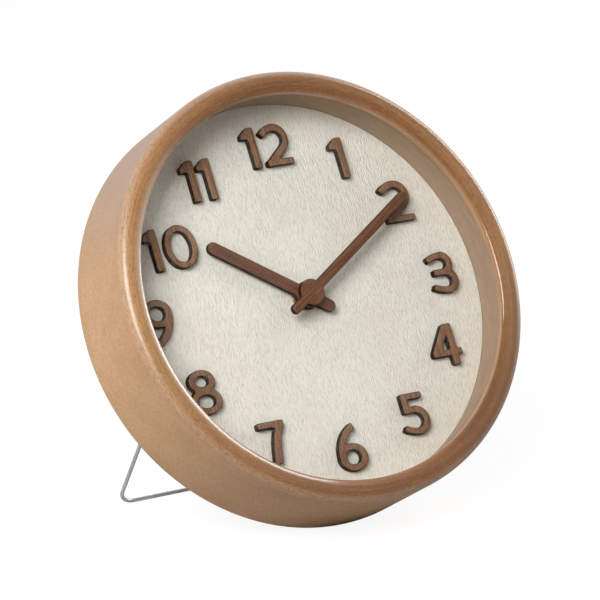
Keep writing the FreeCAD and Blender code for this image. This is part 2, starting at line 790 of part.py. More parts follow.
def contact_negative():
    """Leaf with two bent tongues that push on the cell's base."""
    root = -CHAMBER_HALF + LEAF_THICK
    reach = CELL_FRONT_X - AA_LENGTH - LEAF_GAP
    section = [
        on_dial(root, CELL_Z + TONGUE_ROOT),
        on_dial(reach, CELL_Z),
        on_dial(reach, CELL_Z - TONGUE_TIP),
        on_dial(root, CELL_Z + TONGUE_ROOT - TONGUE_THICK),
        on_dial(root, CELL_Z + TONGUE_ROOT),
    ]
    pieces = [leaf(-CHAMBER_HALF, root)]
    for offset in TONGUE_OFFSETS:
        pieces.append(flat_piece(Part.Face(Part.makePolygon(section)), CELL_Y + offset, TONGUE_WIDTH))
    return joined(pieces)


# ---------------------------------------------------------------- wire bail

def pin_hole(side):
    """Blind hole in the ring for one pin of the bail."""
    ends = sorted((side * BAIL_HALF, side * PIN_HOLE_END))
    return along_x(WIRE_R + PIN_HOLE_GAP, ends[0], ends[1], BAIL_PIVOT_Y, BAIL_PIVOT_Z)


def bend(corner, before, after, radius, steps):
    """Points along a round bend at a right-angled corner of the wire."""
    to_last = before.sub(corner).normalize()
    to_next = after.sub(corner).normalize()
    centre = corner.add(Vector(to_last).add(to_next).multiply(radius))
    points = []
    for index in range(steps + 1):
        turn = math.radians(90 * index / steps)
        sideways = Vector(to_next).multiply(-radius * math.cos(turn))
        endways = Vector(to_last).multiply(-radius * math.sin(turn))
        points.append(centre.add(sideways).add(endways))
    return points


def wire_bail():
    """One bent wire: pin, leg, table bar, leg and pin."""
    route = [
        Vector(-BAIL_PIN_END, BAIL_PIVOT_Y, BAIL_PIVOT_Z),
        Vector(-BAIL_HALF, BAIL_PIVOT_Y, BAIL_PIVOT_Z),
        Vector(-BAIL_HALF, BAIL_BAR_Y, BAIL_BAR_Z),
        Vector(BAIL_HALF, BAIL_BAR_Y, BAIL_BAR_Z),
        Vector(BAIL_HALF, BAIL_PIVOT_Y, BAIL_PIVOT_Z),
        Vector(BAIL_PIN_END, BAIL_PIVOT_Y, BAIL_PIVOT_Z),
    ]
    shoulder = (BAIL_SHOULDER, SHOULDER_STEPS)
    corner = (BAIL_CORNER, CORNER_STEPS)
    path = [route[0]]
    for index, (radius, steps) in enumerate((shoulder, corner, corner, shoulder), start=1):
        path += bend(route[index], route[index - 1], route[index + 1], radius, steps)
    path.append(route[-1])
    section = Part.Wire(Part.makeCircle(WIRE_R, route[0], Vector(1, 0, 0)))
    return Part.makePolygon(path).makePipeShell([section], True, False, 1)


# ---------------------------------------------------------------- write every piece

def build():
    save("case_ring", case_ring())
    save("front_glass", front_glass())
    save("case_liner", case_liner())
    save("dial_face", dial_face())
    save("dial_board", dial_board())
    for value in range(1, 13):
        save("numeral_%02d" % value, numeral(value))
    save("minute_hand", minute_hand())
    save("minute_collet", minute_collet())
    save("minute_arbor", minute_arbor())
    save("hour_hand", hour_hand())
    save("hour_wheel", hour_wheel())
    save("intermediate_wheel", intermediate_wheel())
    save("setting_knob", setting_knob())
    save("movement_housing", movement_housing())
    save("movement_core", movement_core())
    save("movement_cover", movement_cover())
    save("mounting_bush", mounting_bush())
    save("dial_washer", dial_washer())
    save("hex_nut", hex_nut())
    save("battery", battery())
    save("contact_positive", contact_positive())
    save("contact_negative", contact_negative())
    save("wire_bail", wire_bail())


build()
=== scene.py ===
import json
import math

import bmesh
import bpy
from mathutils import Matrix, Vector

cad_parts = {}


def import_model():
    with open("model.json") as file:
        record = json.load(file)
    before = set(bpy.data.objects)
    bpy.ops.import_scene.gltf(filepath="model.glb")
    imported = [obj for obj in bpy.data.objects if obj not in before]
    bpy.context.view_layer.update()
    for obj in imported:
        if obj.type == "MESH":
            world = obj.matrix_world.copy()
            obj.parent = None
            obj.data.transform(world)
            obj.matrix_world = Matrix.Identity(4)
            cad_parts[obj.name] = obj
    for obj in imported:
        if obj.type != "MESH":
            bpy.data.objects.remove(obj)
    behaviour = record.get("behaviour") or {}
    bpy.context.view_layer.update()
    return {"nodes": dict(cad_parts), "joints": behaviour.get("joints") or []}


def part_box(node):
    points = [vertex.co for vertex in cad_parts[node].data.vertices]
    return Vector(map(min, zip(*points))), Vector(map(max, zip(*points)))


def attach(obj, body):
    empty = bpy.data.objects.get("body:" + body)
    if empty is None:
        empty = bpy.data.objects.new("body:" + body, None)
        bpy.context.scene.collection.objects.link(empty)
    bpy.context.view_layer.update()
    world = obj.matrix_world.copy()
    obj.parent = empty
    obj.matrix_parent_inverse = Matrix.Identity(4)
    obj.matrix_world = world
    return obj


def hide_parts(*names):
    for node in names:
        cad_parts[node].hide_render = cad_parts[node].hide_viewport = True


# Looks of the wooden desk clock. Pieces are drawn in millimetres in the clock's own frame
# (X to three o'clock, Y into the case, Z to twelve, origin at the middle of the front face)
# and placed by CLOCK, which is worked out from the minute hand's joint.

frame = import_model()

# ---------------------------------------------------------------- the clock's own frame

MM = 0.001
JOINTS = {joint["name"]: joint for joint in frame["joints"]}
SPIN = JOINTS["minute_spin"]
JOINT_DEPTH = 17.0                      # the joint's point lies this far behind the front face
AXIS = Vector(SPIN["axis"]).normalized()
RIGHT = Vector((1, 0, 0))
UP = RIGHT.cross(AXIS)
CENTRE = Vector(SPIN["pos_m"]) - AXIS * JOINT_DEPTH * MM
LEAN = math.atan2(-AXIS.z, AXIS.y)
CLOCK = Matrix.Translation(CENTRE) @ Matrix.Rotation(-LEAN, 4, "X") @ Matrix.Scale(MM, 4)
INTO_CLOCK = CLOCK.inverted()


def clock_points(node):
    """Corners of a CAD node in the clock's own frame, in millimetres."""
    return [INTO_CLOCK @ vertex.co for vertex in frame["nodes"][node].data.vertices]


def clock_box(node):
    """Lowest and highest corner of a CAD node in the clock's own frame."""
    points = clock_points(node)
    low = Vector([min(point[axis] for point in points) for axis in range(3)])
    high = Vector([max(point[axis] for point in points) for axis in range(3)])
    return low, high


RING_SECTION = [(math.hypot(point.x, point.z), point.y) for point in clock_points("case_ring")]
_, RING_HIGH = clock_box("case_ring")
LINER_LOW, LINER_HIGH = clock_box("case_liner")
GLASS_LOW, GLASS_HIGH = clock_box("front_glass")
_, BOARD_HIGH = clock_box("dial_board")
SKIN = 0.06                             # keeps the smooth ring inside the faceted one
CASE_R = RING_HIGH.x - SKIN
CASE_DEPTH = RING_HIGH.y
BORE_R = LINER_HIGH.x
DIAL_Y = LINER_HIGH.y
LIP_BACK = GLASS_LOW.y
LIP_R = min(radius for radius, depth in RING_SECTION)
CREST_R = min(RING_SECTION, key=lambda corner: corner[1])[0]
RIM_ROUND = CASE_R - CREST_R
LINER_WALL = 0.8


# ---------------------------------------------------------------- shader helpers

def linear(red, green, blue):
    """A display colour from 0 to 255 as the linear colour that shaders take."""
    def channel(value):
        share = value / 255
        if share <= 0.04045:
            return share / 12.92
        return ((share + 0.055) / 1.055) ** 2.4

    return (channel(red), channel(green), channel(blue), 1.0)


class Nodes:
    """Short ways to add and link nodes in one shader tree."""

    def __init__(self, tree):
        self.tree = tree

    def set(self, node, socket, value):
        if isinstance(value, bpy.types.NodeSocket):
            self.tree.links.new(value, node.inputs[socket])
        else:
            node.inputs[socket].default_value = value

    def add(self, kind, sockets=(), output=0, **settings):
        node = self.tree.nodes.new(kind)
        for setting, value in settings.items():
            setattr(node, setting, value)
        for socket, value in dict(sockets).items():
            self.set(node, socket, value)
        return node.outputs[output]

    def math(self, operation, first, second=0.0):
        return self.add("ShaderNodeMath", {0: first, 1: second}, operation=operation)

    def fit(self, value, low, high, to_low=0.0, to_high=1.0, smooth=True):
        """Value carried from one range to another, clamped."""
        sockets = {"Value": value, 1: low, 2: high, 3: to_low, 4: to_high}
        kind = "SMOOTHSTEP" if smooth else "LINEAR"
        return self.add("ShaderNodeMapRange", sockets, interpolation_type=kind)


class Finish(Nodes):
    """A material around one Principled BSDF, with ways to add patterns in clock millimetres."""

    def __init__(self, name, **sockets):
        self.material = bpy.data.materials.new(name)
        self.material.use_nodes = True
        super().__init__(self.material.node_tree)
        self.shader = self.tree.nodes["Principled BSDF"]
        for socket, value in sockets.items():
            self.set(self.shader, socket.replace("_", " "), value)

    def place(self, turn=0.0):
        """Clock coordinates in millimetres, with Z turned clockwise to an angle in degrees."""
        here = self.add("ShaderNodeTexCoord", output="Object")
        sockets = {
            "Vector": here,
            "Location": CENTRE,
            "Rotation": (-LEAN, 0, 0),
            "Scale": (MM, MM, MM),
        }
        here = self.add("ShaderNodeMapping", sockets, vector_type="TEXTURE")
        if turn:
            sockets = {"Vector": here, "Rotation": (0, math.radians(turn), 0)}
            here = self.add("ShaderNodeMapping", sockets, vector_type="TEXTURE")
        return here

    def outward(self):
        """World direction from the middle of the clock to the shaded point."""
        sockets = {0: self.add("ShaderNodeTexCoord", output="Object"), 1: CENTRE}
        return self.add("ShaderNodeVectorMath", sockets, operation="SUBTRACT")

    def facing(self, angle):
        """How far the shaded point lies towards a clock angle: 1 there, -1 opposite."""
        turn = math.radians(angle)
        towards = RIGHT * math.sin(turn) + UP * math.cos(turn)
        outward = self.add("ShaderNodeVectorMath", {0: self.outward()}, operation="NORMALIZE")
        sockets = {0: outward, 1: towards}
        return self.add("ShaderNodeVectorMath", sockets, "Value", operation="DOT_PRODUCT")

    def stretch(self, vector, x, y, z):
        """Vector divided by a cell's size along each axis, in millimetres."""
        sockets = {0: vector, 1: (1 / x, 1 / y, 1 / z)}
        return self.add("ShaderNodeVectorMath", sockets, operation="MULTIPLY")

    def cells(self, size):
        """Clock coordinates in cells of one size, in millimetres."""
        return self.stretch(self.place(), size, size, size)

    def round_about(self, across, along):
        """Vector and fourth coordinate for grain that runs round the clock's axis."""
        parts = self.tree.nodes.new("ShaderNodeSeparateXYZ")
        self.set(parts, "Vector", self.place())
        x, y, z = parts.outputs
        squares = self.math("ADD", self.math("MULTIPLY", x, x), self.math("MULTIPLY", z, z))
        radius = self.math("SQRT", squares)
        turns = CASE_R / along
        east = self.math("MULTIPLY", self.math("DIVIDE", x, radius), turns)
        north = self.math("MULTIPLY", self.math("DIVIDE", z, radius), turns)
        sockets = {
            "X": self.math("DIVIDE", radius, across),
            "Y": self.math("DIVIDE", y, across),
            "Z": east,
        }
        return self.add("ShaderNodeCombineXYZ", sockets), north, radius, y

    def noise(self, vector, detail=3.0, roughness=0.55, distortion=0.0, fourth=None):
        sockets = {
            "Vector": vector,
            "Scale": 1.0,
            "Detail": detail,
            "Roughness": roughness,
            "Distortion": distortion,
        }
        if fourth is None:
            return self.add("ShaderNodeTexNoise", sockets)
        sockets["W"] = fourth
        return self.add("ShaderNodeTexNoise", sockets, noise_dimensions="4D")

    def blend(self, share, first, second):
        """Colour mixed from two; 6 and 7 are the Mix node's colour inputs, 2 is its colour output."""
        return self.add("ShaderNodeMix", {0: share, 6: first, 7: second}, output=2, data_type="RGBA")

    def fleck(self, ground, pattern, low, high, share, tint):
        """Ground with a tint laid over it where the pattern passes from low to high."""
        return self.blend(self.math("MULTIPLY", self.fit(pattern, low, high), share), ground, tint)

    def colour(self, socket):
        self.set(self.shader, "Base Color", socket)

    def rough(self, value, low, high):
        """Roughness that follows a 0 to 1 pattern."""
        self.set(self.shader, "Roughness", self.fit(value, 0.0, 1.0, low, high, smooth=False))

    def bump(self, height, depth, strength=1.0):
        """Relief of a 0 to 1 height, with its full depth in millimetres."""
        sockets = {"Height": height, "Distance": depth * MM, "Strength": strength}
        self.set(self.shader, "Normal", self.add("ShaderNodeBump", sockets))


# ---------------------------------------------------------------- finishes

SIDE_PAINTED_LIGHT = 262.0                     # clock angles of the painted light, painted sheen, painted highlights and painted shade below
SIDE_PAINTED_SHEEN = 322.0
NOSE_PAINTED_HIGHLIGHT = 280.0
NOSE_PAINTED_SHEEN = 62.0
NOSE_PAINTED_SHADE = 124.0
LIP_PAINTED_HIGHLIGHT = 274.0
LIP_HIGHLIGHT_SHARE = 0.45                         # share of the painted highlight along the lip
NOSE_BLEND = 1.8                        # depth over which the nose's stain gives way to the side's


def side_colour(finish, depth):
    """Mottled stain of the straight side, and the mottle itself. Its colour also carries painted
    light: paler on the left where the key light falls, paler towards the back edge, and a painted
    greyish sheen up to the left.
    """
    mottle = finish.noise(finish.cells(1.3), detail=3.0, roughness=0.65)
    clouds = finish.noise(finish.cells(22.0), detail=2.0)
    side = finish.blend(finish.fit(clouds, 0.3, 0.7), linear(214, 167, 122), linear(224, 178, 134))
    side = finish.fleck(side, mottle, 0.52, 0.32, 0.45, linear(186, 136, 98))
    side = finish.fleck(side, mottle, 0.54, 0.72, 0.45, linear(240, 204, 166))
    # Painted light: the side is paler on the left, where the key light falls, and darker elsewhere.
    painted_light = finish.fit(finish.facing(SIDE_PAINTED_LIGHT), 0.68, 0.98, 0.86, 1.0)
    # Painted light: the side grows paler towards its back edge and darker towards the nose.
    painted_back_light = finish.fit(depth, 4.0, 50.0, 0.88, 1.08, smooth=False)
    sockets = {0: side, "Scale": finish.math("MULTIPLY", painted_light, painted_back_light)}
    side = finish.add("ShaderNodeVectorMath", sockets, operation="SCALE")
    # Painted sheen: a greyish reflection laid into the colour up to the left.
    painted_grey_sheen = finish.fit(finish.facing(SIDE_PAINTED_SHEEN), 0.8, 1.0, 0.0, 0.4)
    return finish.blend(painted_grey_sheen, side, linear(196, 176, 172)), mottle


def nose_colour(finish, radius, fibres, lip_highlight):
    """Darker stain of the rounded nose, with painted light in its colour: a painted highlight to the
    left, a painted sheen up to the right, painted shade low on the right, a paler shoulder that is
    partly painted highlight, and a painted highlight along its lip.
    """
    broad, fourth, _, _ = finish.round_about(0.9, 60.0)
    streaks = finish.noise(broad, detail=3.0, roughness=0.55, fourth=fourth)
    nose = finish.blend(finish.fit(streaks, 0.4, 0.6), linear(99, 52, 29), linear(132, 76, 43))
    # Painted highlight: the nose is paler to the left, where the key light's sheen lies, most on its
    # outer half.
    pale = finish.math("POWER", finish.fit(finish.facing(NOSE_PAINTED_HIGHLIGHT), -0.1, 1.0, smooth=False), 1.6)
    pale = finish.math("MULTIPLY", pale, finish.fit(radius, LIP_R, CREST_R + 1, 0.3, 1.0))
    # Painted sheen of the right-hand lamp: paler up to the right.
    painted_right_sheen = finish.fit(finish.facing(NOSE_PAINTED_SHEEN), 0.3, 1.0, 0.0, 0.35)
    pale = finish.math("MAXIMUM", pale, painted_right_sheen)
    pale = finish.math("MULTIPLY", pale, finish.fit(streaks, 0.36, 0.6, 0.75, 1.05))
    nose = finish.blend(pale, nose, linear(184, 132, 78))
    # The outer shoulder turns paler, towards the side's tan: partly the stain giving way to the
    # side's, partly a painted highlight.
    shoulder = finish.fit(radius, CREST_R + 0.5, CASE_R - 0.6, 0.0, 0.5)
    nose = finish.blend(shoulder, nose, linear(208, 160, 112))
    nose = finish.fleck(nose, fibres, 0.5, 0.38, 0.75, linear(84, 46, 24))
    nose = finish.fleck(nose, fibres, 0.54, 0.68, 0.6, linear(200, 142, 90))
    # Painted shade: darker low on the right, where the nose takes no sheen.
    dark = finish.fit(finish.facing(NOSE_PAINTED_SHADE), 0.8, 1.0, 0.0, 0.4)
    nose = finish.blend(dark, nose, linear(72, 36, 20))
    # Painted highlight: a pale line along the lip.
    near_lip = finish.fit(radius, LIP_R + 5.0, LIP_R + 1.2, 0.0, LIP_HIGHLIGHT_SHARE)
    return finish.blend(finish.math("MULTIPLY", near_lip, lip_highlight), nose, linear(238, 220, 206))


def bentwood_finish():
    """Satin lacquer on stained bentwood: a mottled matte side, and a glossier nose whose golden
    sheen spreads across the grain that runs round it."""
    finish = Finish("bentwood", Coat_IOR=1.65)
    fine, fourth, radius, depth = finish.round_about(0.32, 2.0)
    fibres = finish.noise(fine, detail=4.0, roughness=0.62, fourth=fourth)
    # Mask of the painted highlight along the lip, strongest on the left.
    lip_highlight = finish.fit(finish.facing(LIP_PAINTED_HIGHLIGHT), 0.5, 0.95)
    side, mottle = side_colour(finish, depth)
    nose = nose_colour(finish, radius, fibres, lip_highlight)

    on_nose = finish.fit(depth, RIM_ROUND + 0.3, RIM_ROUND - NOSE_BLEND)
    near_bore = finish.fit(radius, LIP_R + 1.6, LIP_R + 0.6)
    in_lip = finish.math("MULTIPLY", near_bore, finish.fit(depth, 1.8, 3.2))
    # Painted highlight: the lip's wall turns near white on the left.
    lip = finish.blend(lip_highlight, linear(178, 138, 108), linear(246, 234, 222))
    finish.colour(finish.blend(in_lip, finish.blend(on_nose, side, nose), lip))
    finish.rough(fibres, 0.68, 0.78)

    def differ(socket, on_side, at_nose):
        value = finish.fit(on_nose, 0.0, 1.0, on_side, at_nose, smooth=False)
        finish.set(finish.shader, socket, value)

    differ("IOR", 1.45, 1.9)
    differ("Specular IOR Level", 0.8, 1.0)
    differ("Anisotropic", 0.3, 0.5)
    differ("Coat Weight", 0.25, 0.9)
    finish.set(finish.shader, "Tangent", finish.outward())
    outer = finish.fit(radius, CREST_R + 0.2, CASE_R - 1.5)
    golden = finish.blend(outer, linear(255, 210, 150), linear(255, 240, 222))
    tint = finish.blend(on_nose, linear(255, 244, 232), golden)
    finish.set(finish.shader, "Specular Tint", tint)
    coat_rough = finish.fit(radius, LIP_R + 1, LIP_R + 5, 0.12, 0.3)
    finish.set(finish.shader, "Coat Roughness", coat_rough)
    grain = finish.math("MULTIPLY", fibres, 0.5)
    finish.bump(finish.blend(on_nose, mottle, grain), 0.07, 0.6)
    return finish.material


def liner_finish():
    """Matte taupe paper on the strip between the glass and the dial, with painted shade in the corner
    at the dial.
    """
    finish = Finish("liner_paper", Specular_IOR_Level=0.2)
    fine, fourth, _, depth = finish.round_about(0.9, 9.0)
    streaks = finish.noise(fine, detail=3.0, fourth=fourth)
    felt = finish.noise(finish.cells(0.5), detail=3.0)
    wall = finish.blend(finish.fit(streaks, 0.35, 0.65), linear(160, 136, 112), linear(172, 148, 123))
    wall = finish.fleck(wall, felt, 0.5, 0.35, 0.3, linear(138, 114, 92))
    # Painted shade: a dark band where the wall meets the dial.
    corner_shade = finish.fit(depth, DIAL_Y - 0.7, DIAL_Y - 0.1)
    finish.colour(finish.blend(corner_shade, wall, linear(96, 76, 60)))
    finish.rough(felt, 0.68, 0.85)
    finish.bump(felt, 0.03, 0.4)
    return finish.material


def dial_finish():
    """Cream dial paper, embossed with fine upright strokes like brushed wood."""
    finish = Finish("dial_paper", Specular_IOR_Level=0.3)
    here = finish.place(3.0)
    strokes = finish.stretch(here, 0.38, 3.0, 2.9)
    strokes = finish.noise(strokes, detail=1.0, roughness=0.5, distortion=0.1)
    threads = finish.noise(finish.stretch(here, 0.24, 1.5, 1.4), detail=1.0)
    clouds = finish.noise(finish.stretch(here, 30.0, 30.0, 40.0), detail=1.0)
    paper = finish.blend(finish.fit(clouds, 0.3, 0.7), linear(246, 241, 228), linear(250, 246, 234))
    paper = finish.fleck(paper, strokes, 0.41, 0.36, 0.42, linear(198, 191, 172))
    finish.colour(finish.fleck(paper, threads, 0.4, 0.33, 0.32, linear(196, 186, 168)))
    finish.rough(strokes, 0.6, 0.78)
    low = finish.math("MULTIPLY", threads, 0.35)
    finish.bump(finish.math("ADD", finish.fit(strokes, 0.34, 0.58), low), 0.2, 0.8)
    return finish.material


def stained_finish(name, light, dark, pore, turn):
    """Stained open-pored wood with its grain along one direction of the dial."""
    finish = Finish(name, Specular_IOR_Level=0.3)
    here = finish.place(turn)
    bands = finish.noise(finish.stretch(here, 0.9, 3.0, 20.0), detail=3.0, distortion=0.4)
    pores = finish.noise(finish.stretch(here, 0.26, 0.8, 1.5), detail=2.0, roughness=0.6)
    ground = finish.blend(finish.fit(bands, 0.34, 0.66), dark, light)
    finish.colour(finish.fleck(ground, pores, 0.45, 0.34, 0.8, pore))
    finish.rough(bands, 0.52, 0.7)
    finish.bump(finish.fit(pores, 0.32, 0.5), 0.1, 0.6)
    return finish.material


def charred_finish():
    """Cut edge of laser-cut wood: near black, a little browner where it is rubbed."""
    finish = Finish("charred_edge", Specular_IOR_Level=0.03)
    soot = finish.noise(finish.stretch(finish.place(), 0.7, 1.2, 0.7), detail=3.0)
    finish.colour(finish.blend(finish.fit(soot, 0.42, 0.78), linear(24, 12, 7), linear(62, 38, 25)))
    finish.rough(soot, 0.7, 0.9)
    finish.bump(soot, 0.05, 0.5)
    return finish.material


def metal_finish(name, tint, low, high, scale=0.4, along_x=1.0, metallic=1.0):
    """Bare metal with fine drawing or turning marks."""
    finish = Finish(name, Metallic=metallic)
    marks = finish.noise(finish.stretch(finish.place(), scale * along_x, scale, scale), detail=3.0)
    smudge = finish.noise(finish.cells(6.0), detail=2.0)
    worn = tuple(channel * 0.82 for channel in tint[:3]) + (1.0,)
    finish.colour(finish.blend(finish.fit(smudge, 0.35, 0.7), tint, worn))
    finish.rough(marks, low, high)
    finish.bump(marks, 0.01, 0.3)
    return finish.material


def moulded_finish(name, tint, rubbed, grain=0.45, low=0.42, high=0.6):
    """Moulded plastic with a fine spark-eroded texture."""
    finish = Finish(name, Specular_IOR_Level=0.5)
    texture = finish.noise(finish.cells(grain), detail=3.0, roughness=0.7)
    clouds = finish.noise(finish.cells(9.0), detail=2.0)
    finish.colour(finish.blend(finish.fit(clouds, 0.4, 0.8), tint, rubbed))
    finish.rough(texture, low, high)
    finish.bump(texture, 0.04, 0.4)
    return finish.material


def board_finish():
    """Raw fibreboard: brown, flecked with short fibres."""
    finish = Finish("fibreboard", Specular_IOR_Level=0.25)
    flecks = finish.stretch(finish.place(), 0.7, 0.7, 1.1)
    flecks = finish.noise(flecks, detail=4.0, roughness=0.7)
    clouds = finish.noise(finish.cells(18.0), detail=2.0)
    ground = finish.blend(finish.fit(clouds, 0.3, 0.7), linear(146, 112, 80), linear(162, 127, 93))
    finish.colour(finish.blend(finish.fit(flecks, 0.5, 0.68), ground, linear(110, 80, 54)))
    finish.rough(flecks, 0.78, 0.92)
    finish.bump(flecks, 0.06, 0.6)
    return finish.material


def glass_finish():
    """Clear float glass; most of it is left open so that the dial takes the full light."""
    clear = linear(252, 254, 253)
    finish = Finish("float_glass", Base_Color=clear, Transmission_Weight=1.0, IOR=1.45, Alpha=0.03)
    dust = finish.noise(finish.cells(14.0), detail=3.0)
    finish.rough(dust, 0.0, 0.05)
    return finish.material


def jacket_finish():
    """Plain printed jacket of the cell, dark with a copper-coloured band at the positive end."""
    finish = Finish("cell_jacket", Specular_IOR_Level=0.6, Coat_Weight=0.4, Coat_Roughness=0.15)
    parts = finish.tree.nodes.new("ShaderNodeSeparateXYZ")
    finish.set(parts, "Vector", finish.place())
    band = finish.fit(parts.outputs["X"], BAND_X - 0.1, BAND_X + 0.1)
    scuffs = finish.noise(finish.stretch(finish.place(), 1.5, 0.5, 0.5), detail=4.0)
    jacket = finish.blend(band, linear(52, 56, 60), linear(186, 122, 70))
    finish.colour(finish.blend(finish.fit(scuffs, 0.62, 0.8), jacket, linear(150, 148, 144)))
    finish.rough(scuffs, 0.24, 0.4)
    finish.bump(scuffs, 0.02, 0.3)
    return finish.material


MINUTE_TURN = 58.7                      # clock angles of the hands, along which their grain runs
HOUR_TURN = 304.9
BAND_X = 10.5                           # where the band on the cell's jacket starts
BENTWOOD = bentwood_finish()
LINER = liner_finish()
DIAL = dial_finish()
NUMERAL = stained_finish("numeral_wood", linear(156, 115, 84), linear(124, 86, 60),
                         linear(58, 36, 25), 0.0)
MINUTE_WOOD = stained_finish("minute_hand_wood", linear(132, 86, 56), linear(100, 62, 38),
                             linear(48, 27, 20), MINUTE_TURN)
HOUR_WOOD = stained_finish("hour_hand_wood", linear(122, 75, 47), linear(92, 55, 35),
                           linear(46, 28, 21), HOUR_TURN)
CHARRED = charred_finish()
BRASS = metal_finish("turned_brass", linear(206, 160, 92), 0.24, 0.4)
WIRE = metal_finish("plated_wire", linear(228, 230, 232), 0.2, 0.34, 0.3, 12.0, 0.55)
STEEL = metal_finish("ground_steel", linear(188, 188, 190), 0.24, 0.42)
BLACK = moulded_finish("black_moulding", linear(34, 34, 36), linear(56, 56, 58))
KNOB = moulded_finish("knob_moulding", linear(46, 46, 48), linear(74, 74, 76), 0.3)
WHEEL = moulded_finish("acetal", linear(226, 224, 214), linear(208, 204, 192), 0.3, 0.3, 0.45)
BOARD = board_finish()
GLASS = glass_finish()
JACKET = jacket_finish()


# ---------------------------------------------------------------- mesh helpers

def finished(name, mesh, materials, body="case", smooth_angle=32.0):
    """Places a mesh drawn in clock millimetres and lets it ride on its body."""
    mesh.transform(CLOCK)
    for material in materials:
        mesh.materials.append(material)
    mesh.shade_smooth()
    mesh.set_sharp_from_angle(angle=math.radians(smooth_angle))
    piece = bpy.data.objects.new(name, mesh)
    bpy.context.scene.collection.objects.link(piece)
    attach(piece, body)
    return piece


def built(name, shape):
    """Mesh of a closed bmesh shape, with its faces turned outwards."""
    bmesh.ops.recalc_face_normals(shape, faces=shape.faces)
    mesh = bpy.data.meshes.new(name)
    shape.to_mesh(mesh)
    shape.free()
    return mesh


def arc(centre, radius, start, end, steps):
    """Points of a round stretch of a profile; angles in degrees, anticlockwise from +radius."""
    points = []
    for index in range(steps + 1):
        turn = math.radians(start + (end - start) * index / steps)
        points.append((centre[0] + radius * math.cos(turn), centre[1] + radius * math.sin(turn)))
    return points


def lathe(name, profile, segments):
    """Closed profile of (radius, depth) points turned about the clock's axis."""
    shape = bmesh.new()
    rings = []
    for index in range(segments):
        turn = 2 * math.pi * index / segments
        column = []
        for radius, depth in profile:
            spot = (radius * math.sin(turn), depth, radius * math.cos(turn))
            column.append(shape.verts.new(spot))
        rings.append(column)
    count = len(profile)
    for index in range(segments):
        here = rings[index]
        there = rings[(index + 1) % segments]
        for step in range(count):
            after = (step + 1) % count
            shape.faces.new((here[step], here[after], there[after], there[step]))
    bmesh.ops.remove_doubles(shape, verts=shape.verts, dist=1e-5)
    return built(name, shape)


def sweep(name, path, radius, sides):
    """Round wire along a path of points, closed with a flat face at both ends."""
    shape = bmesh.new()
    rings = []
    side = Vector((0, 0, 1)).cross(path[1] - path[0]).normalized()
    for index, point in enumerate(path):
        before = path[max(index - 1, 0)]
        after = path[min(index + 1, len(path) - 1)]
        along = (after - before).normalized()
        side = (side - along * side.dot(along)).normalized()
        other = along.cross(side)
        ring = []
        for step in range(sides):
            turn = 2 * math.pi * step / sides
            offset = side * math.cos(turn) + other * math.sin(turn)
            ring.append(shape.verts.new(point + offset * radius))
        rings.append(ring)
    for here, there in zip(rings, rings[1:]):
        for step in range(sides):
            after = (step + 1) % sides
            shape.faces.new((here[step], here[after], there[after], there[step]))
    shape.faces.new(rings[0])
    shape.faces.new(rings[-1])
    return built(name, shape)


SHARP = 35.0                            # edges bent by more than this are eased


def softened(node, edge):
    """Copy of a CAD node's mesh in clock millimetres, with its sharp edges eased."""
    mesh = frame["nodes"][node].data.copy()
    mesh.transform(INTO_CLOCK)
    mesh.materials.clear()
    shape = bmesh.new()
    shape.from_mesh(mesh)
    bmesh.ops.remove_doubles(shape, verts=shape.verts, dist=0.002)
    bmesh.ops.dissolve_limit(shape, angle_limit=math.radians(0.5), verts=shape.verts,
                             edges=shape.edges)
    sharp = [line for line in shape.edges
             if line.is_manifold and line.calc_face_angle() > math.radians(SHARP)]
    bmesh.ops.bevel(shape, geom=sharp, offset=edge, segments=2, profile=0.6,
                    affect="EDGES", clamp_overlap=True)
    bmesh.ops.recalc_face_normals(shape, faces=shape.faces)
    shape.to_mesh(mesh)
    shape.free()
    return mesh


# ---------------------------------------------------------------- case, glass, liner and dial

BACK_ROUND = 2.1                        # rounding of the back outer edge
BORE_BREAK = 0.8                        # eased back edge of the bore
LIP_BREAK = 0.4                         # eased edge of the lip at the glass
LIP_CORNER = 1.8                        # tight corner between the nose and the lip's wall
LIP_SLOPE = 30.0                        # tilt of the nose where that corner starts
HAIR = 0.02                             # keeps touching faces apart
GLASS_BEVEL = 0.4
RING_SIDES = 288
LINER_SIDES = 240
GLASS_SIDES = 192


def case_ring():
    """The bentwood ring: rounded nose with its lip, straight side and eased back edges."""
    slope = math.radians(LIP_SLOPE)
    slope_end = LIP_R + LIP_CORNER * (1 - math.sin(slope))
    slope_r = (CREST_R - slope_end) / math.sin(slope)
    corner_depth = slope_r + (LIP_CORNER - slope_r) * math.cos(slope)
    profile = [(BORE_R, CASE_DEPTH - BORE_BREAK), (BORE_R, LIP_BACK), (LIP_R + LIP_BREAK, LIP_BACK)]
    profile += arc((LIP_R + LIP_BREAK, LIP_BACK - LIP_BREAK), LIP_BREAK, 90, 180, 3)[1:]
    profile += arc((LIP_R + LIP_CORNER, corner_depth), LIP_CORNER, 180, 270 - LIP_SLOPE, 8)
    profile += arc((CREST_R, slope_r), slope_r, 270 - LIP_SLOPE, 270, 10)[1:]
    profile += arc((CREST_R, RIM_ROUND), RIM_ROUND, 270, 360, 16)[1:]
    profile += arc((CASE_R - BACK_ROUND, CASE_DEPTH - BACK_ROUND), BACK_ROUND, 0, 90, 6)
    bore_edge = (BORE_R + BORE_BREAK, CASE_DEPTH - BORE_BREAK)
    profile += arc(bore_edge, BORE_BREAK, 90, 180, 4)[:-1]
    mesh = lathe("case_ring_turned", profile, RING_SIDES)
    piece = finished("case_ring_turned", mesh, [BENTWOOD])
    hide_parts("case_ring")


